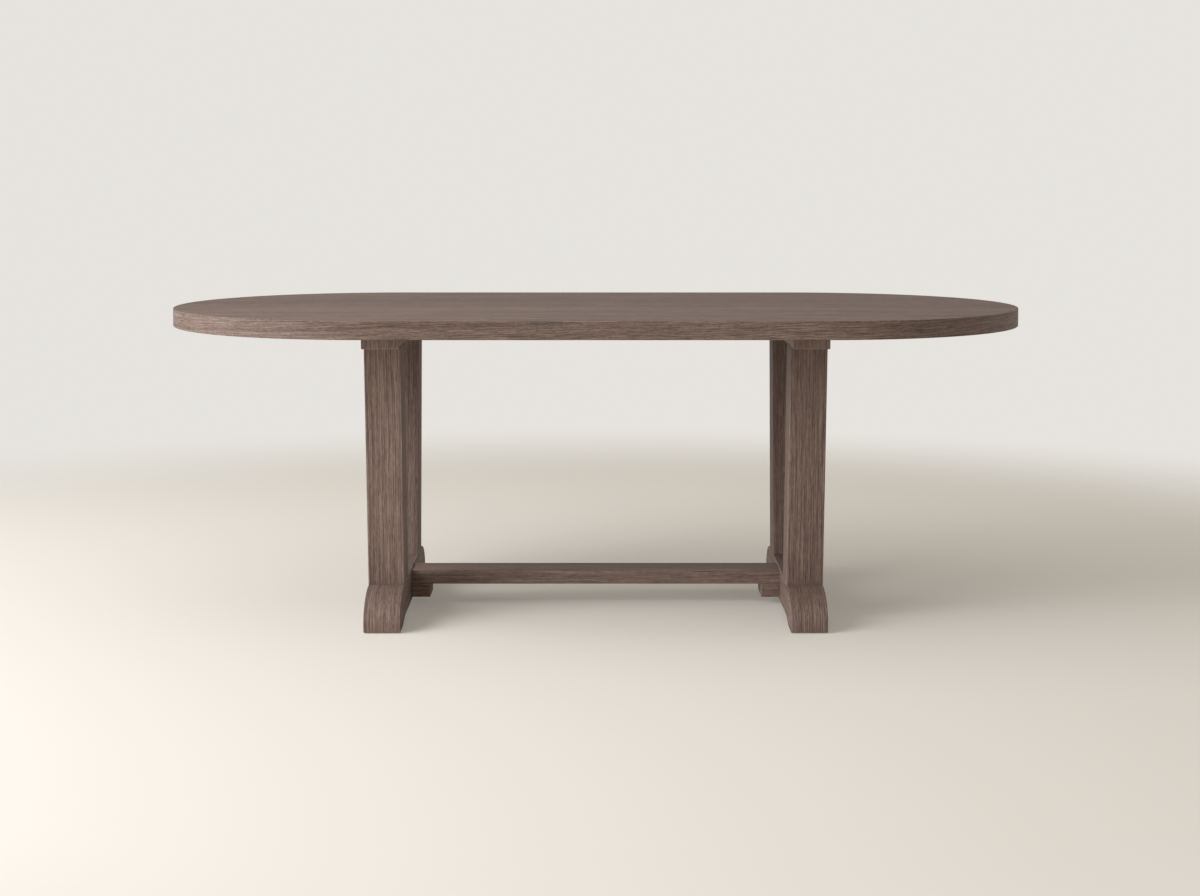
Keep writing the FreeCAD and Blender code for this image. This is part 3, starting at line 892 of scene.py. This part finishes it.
def make_leg(side, end, along, across):
    """A leg that leans from the foot rail out to the bearer."""
    node = side + "_" + end + "_leg"
    low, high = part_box(side + "_bearer")
    head_level = low.z
    foot_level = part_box(side + "_foot_rail")[1].z
    near, far = depth_at(node, foot_level)
    lean = (depth_at(node, head_level)[0] - near) / (head_level - foot_level)
    middle = (near + far) / 2
    outline = rounded([(low.x, near), (high.x, near), (high.x, far), (low.x, far)], arris)

    def leaning(z, x, y):
        return Vector((x, y + lean * (z - foot_level), z))

    def place_in_log(spot):
        upright = spot.y - lean * (spot.z - foot_level)
        return spot.z + along, spot.x - low.x + across, upright - middle + leg_through

    mesh = eased_prism(node + "_form", outline, foot_level, head_level, joint_ease, leaning)
    oak_piece(node, mesh, place_in_log)


def foot_outline(low, high, leg_face):
    """Side view of a foot rail, counter-clockwise from its front pad."""
    end, top = high.y, high.z
    under = [(-end, low.z + arris), (-end + arris / 4, low.z + arris / 4), (-end + arris, low.z),
             (-end + pad_length, low.z)]
    for step in range(1, ramp_steps + 1):
        t = step / ramp_steps
        under.append((-end + pad_length + ramp_length * t, low.z + arch_rise * t * t * (3 - 2 * t)))
    over = []
    for step in range(toe_steps + 1):
        turn = math.pi / 2 * step / toe_steps
        over.append((leg_face + (end - leg_face) * math.cos(turn),
                     toe_nose + (top - toe_nose) * math.sin(turn)))
    back_under = [(-a, b) for a, b in reversed(under)]
    front_over = [(-a, b) for a, b in reversed(over)]
    return [(a, b, 0.0) for a, b in under + back_under + over + front_over]


def make_foot_rail(side, along):
    """The shoe foot, its toes rounded from the legs' outer faces."""
    node = side + "_foot_rail"
    low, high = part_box(node)
    leg_face = depth_at(side + "_back_leg", high.z)[1]
    mesh = eased_prism(node + "_form", foot_outline(low, high, leg_face), low.x, high.x, arris, along_x)
    oak_piece(node, mesh, wrapped(low, high, along))


def make_block(side, along):
    """The block under one end of the stretcher, bored from below for its bolts."""
    node = side + "_stretcher_block"
    low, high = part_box(node)
    mesh = eased_prism(node + "_form", box_outline(low, high, end_arris), low.x, high.x, arris, along_x)
    mesh = counterbored(mesh, solids_between("stretcher_washers", low, high))
    oak_piece(node, mesh, lambda spot: (spot.x + along, spot.y + block_across, spot.z + block_through),
              block_tone)


for number, side in enumerate(("left", "right")):
    log_start = number * trestle_step
    make_bearer(side, log_start)
    for count, end in enumerate(("front", "back")):
        make_leg(side, end, log_start + count * leg_step, leg_across + count * leg_shift)
    make_foot_rail(side, log_start + rail_step)
    make_block(side, log_start)


def make_stretcher():
    """The flat board between the inner faces of the two foot rails."""
    low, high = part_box("stretcher")
    first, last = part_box("left_foot_rail")[1].x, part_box("right_foot_rail")[0].x
    mesh = eased_prism("stretcher_form", box_outline(low, high, arris), first, last, joint_ease, along_x)
    oak_piece("stretcher", mesh, lambda spot: (spot.x + stretcher_along, spot.y + stretcher_across,
                                               spot.z + stretcher_through), stretcher_tone)


make_stretcher()


# Bolts, washers, glides and screws
def bolt(node):
    """A bolt, head down, with a six-sided socket and a rounded head."""
    length = round_size(solids_of(node)[0])[1]
    profile = []
    for step in range(arc_steps + 1):
        turn = math.pi / 2 * step / arc_steps
        profile.append((bolt_head_radius - bolt_head_round * (1 - math.sin(turn)),
                        bolt_head_round * (1 - math.cos(turn))))
    profile += [(bolt_head_radius, bolt_head_height), (bolt_shank_radius, bolt_head_height),
                (bolt_shank_radius, length - bolt_point), (bolt_shank_radius - bolt_point, length)]
    socket = [(bolt_socket, bolt_socket_depth), (bolt_socket, 0.0)]
    return turned(node + "_fitting", profile, socket, hexagon_ring)


def washer(node):
    """A flat ring with its outer rim broken above and below."""
    radius, thickness = round_size(solids_of(node)[0])
    profile = [(washer_hole_radius, 0.0), (radius - washer_rim, 0.0), (radius, washer_rim),
               (radius, thickness - washer_rim), (radius - washer_rim, thickness),
               (washer_hole_radius, thickness)]
    return turned(node + "_fitting", profile, capped=False)


def glide(node):
    """A disc with its lower rim broken and a well for the head of its screw."""
    radius, thickness = round_size(solids_of(node)[0])
    profile = [(glide_well_radius, 0.0), (radius - glide_rim, 0.0), (radius, glide_rim),
               (radius, thickness), (glide_hole_radius, thickness), (glide_hole_radius, glide_well_depth)]
    return turned(node + "_fitting", profile, capped=False)


def glide_screw(node):
    """A countersunk screw, head down, with a cross slot."""
    length = round_size(solids_of(node)[0])[1]
    profile = [(screw_head_radius, 0.0), (screw_shank_radius, screw_head_height),
               (screw_shank_radius, length - screw_point), (screw_shank_radius / 4, length)]
    slot = [(screw_slot_radius / 2, screw_slot_depth), (screw_slot_radius, 0.0)]
    return turned(node + "_fitting", profile, slot, cross_ring)


for node in ("top_bolts", "stretcher_bolts"):
    fit("steel_" + node, bolt(node), "plated_steel", node)
for node in ("top_washers", "stretcher_washers"):
    fit("steel_" + node, washer(node), "plated_steel", node)
fit("nylon_floor_glides", glide("floor_glides"), "glide_nylon", "floor_glides")
fit("steel_glide_screws", glide_screw("glide_screws"), "plated_steel", "glide_screws")

# Pieces shut inside the table keep the frame's own meshes
inner_finishes = {"top_core": "core_board", "top_inserts": "insert_brass",
                  "stretcher_inserts": "insert_brass", "block_dowels": "dowel_beech"}
for node, slot in inner_finishes.items():
    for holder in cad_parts[node].material_slots:
        holder.material = finishes[slot]

# Floor, room, lamps and camera
floor_near = 2.1                           # from the middle of the table to where the floor starts to fade
floor_far = 3.7                            # and to where nothing of it is left
floor_level = -0.0002
floor_colour = (0.70, 0.657, 0.595, 1.0)
floor_glow = (0.80, 0.75, 0.67, 1.0)
glow_share = 0.22                          # of the floor as it is seen, so that its shadows stay pale
wall_colour = (0.79, 0.77, 0.73, 1.0)
room_light = 0.404
room_tint = (1.0, 0.952, 0.848, 1.0)
day_tint = (0.925, 0.957, 1.0)
light_target = Vector((0.0, 0.0, 0.4))
lamps = (("window_light", (-4.7, -3.4, 2.4), 4.4, 345.0),
         ("side_light", (-5.0, -1.2, 2.7), 5.2, 318.0),
         ("ceiling_light", (-0.7, -2.1, 4.2), 4.4, 24.0),
         ("fill_light", (5.6, 1.4, 1.1), 3.4, 40.0))
sensor_width = 36.0                        # millimetres, as is the focal length
focal_length = 66.574
lens_shift_x, lens_shift_y = 0.0036, -0.10
camera_place = (0.0, -5.6387, 1.1481)
camera_dip = 4.4994                        # degrees below level


def seen_rays(graph):
    """One for the rays that show the surroundings, nought for those that light the table."""
    path = graph.add("ShaderNodeLightPath").outputs
    return graph.math("MAXIMUM", path["Is Camera Ray"],
                      graph.math("MAXIMUM", path["Is Glossy Ray"], path["Is Transmission Ray"]))


def lay_floor():
    """A pale floor that fades out round the table and is clear from below."""
    material, graph = new_material("pale_floor")
    reach = graph.add("ShaderNodeVectorMath", {0: object_place(graph)}, operation="LENGTH").outputs["Value"]
    behind = graph.add("ShaderNodeNewGeometry").outputs["Backfacing"]
    clear = graph.math("MAXIMUM", behind, graph.fade(reach, floor_near, floor_far))
    ground = graph.add("ShaderNodeBsdfDiffuse", {"Color": floor_colour}).outputs[0]
    glow = graph.add("ShaderNodeEmission", {"Color": floor_glow, "Strength": 1.0}).outputs[0]
    nothing = graph.add("ShaderNodeBsdfTransparent").outputs[0]
    lifted = graph.mix(graph.times(seen_rays(graph), glow_share), ground, glow)
    graph.add("ShaderNodeOutputMaterial", {"Surface": graph.mix(clear, lifted, nothing)})
    mesh = bpy.data.meshes.new("floor")
    corners = [(x * floor_far, y * floor_far, floor_level) for x, y in ((-1, -1), (1, -1), (1, 1), (-1, 1))]
    mesh.from_pydata(corners, [], [(0, 1, 2, 3)])
    mesh.materials.append(material)
    return carrier_of(mesh)


def light_room():
    """A plain pale room, as bright to the eye as its wall and dimmer as a light."""
    world = bpy.data.worlds.new("room")
    world.use_nodes = True
    world.node_tree.nodes.clear()
    graph = Graph(world.node_tree)
    light = graph.add("ShaderNodeBackground", {"Color": room_tint, "Strength": room_light}).outputs[0]
    wall = graph.add("ShaderNodeBackground", {"Color": wall_colour, "Strength": 1.0}).outputs[0]
    graph.add("ShaderNodeOutputWorld", {"Surface": graph.mix(seen_rays(graph), light, wall)})
    bpy.context.scene.world = world


def hang_lamp(name, place, size, power):
    """A soft square lamp that faces the table."""
    lamp = bpy.data.lights.new(name, "AREA")
    lamp.shape = "SQUARE"
    lamp.size = size
    lamp.energy = power
    lamp.color = day_tint
    light = bpy.data.objects.new(name, lamp)
    light.location = place
    light.rotation_euler = (light_target - light.location).to_track_quat("-Z", "Y").to_euler()
    bpy.context.scene.collection.objects.link(light)
    return light


def set_camera():
    """The camera in front of the table, tipped down a little."""
    lens = bpy.data.cameras.new("camera")
    lens.sensor_width = sensor_width
    lens.lens = focal_length
    lens.shift_x = lens_shift_x
    lens.shift_y = lens_shift_y
    camera = bpy.data.objects.new("camera", lens)
    camera.location = camera_place
    camera.rotation_euler = (math.radians(90.0 - camera_dip), 0.0, 0.0)
    bpy.context.scene.collection.objects.link(camera)
    bpy.context.scene.camera = camera
    return camera


floor = lay_floor()
light_room()
lights = [hang_lamp(*lamp) for lamp in lamps]
camera = set_camera()
bpy.context.scene.view_settings.view_transform = "Standard"
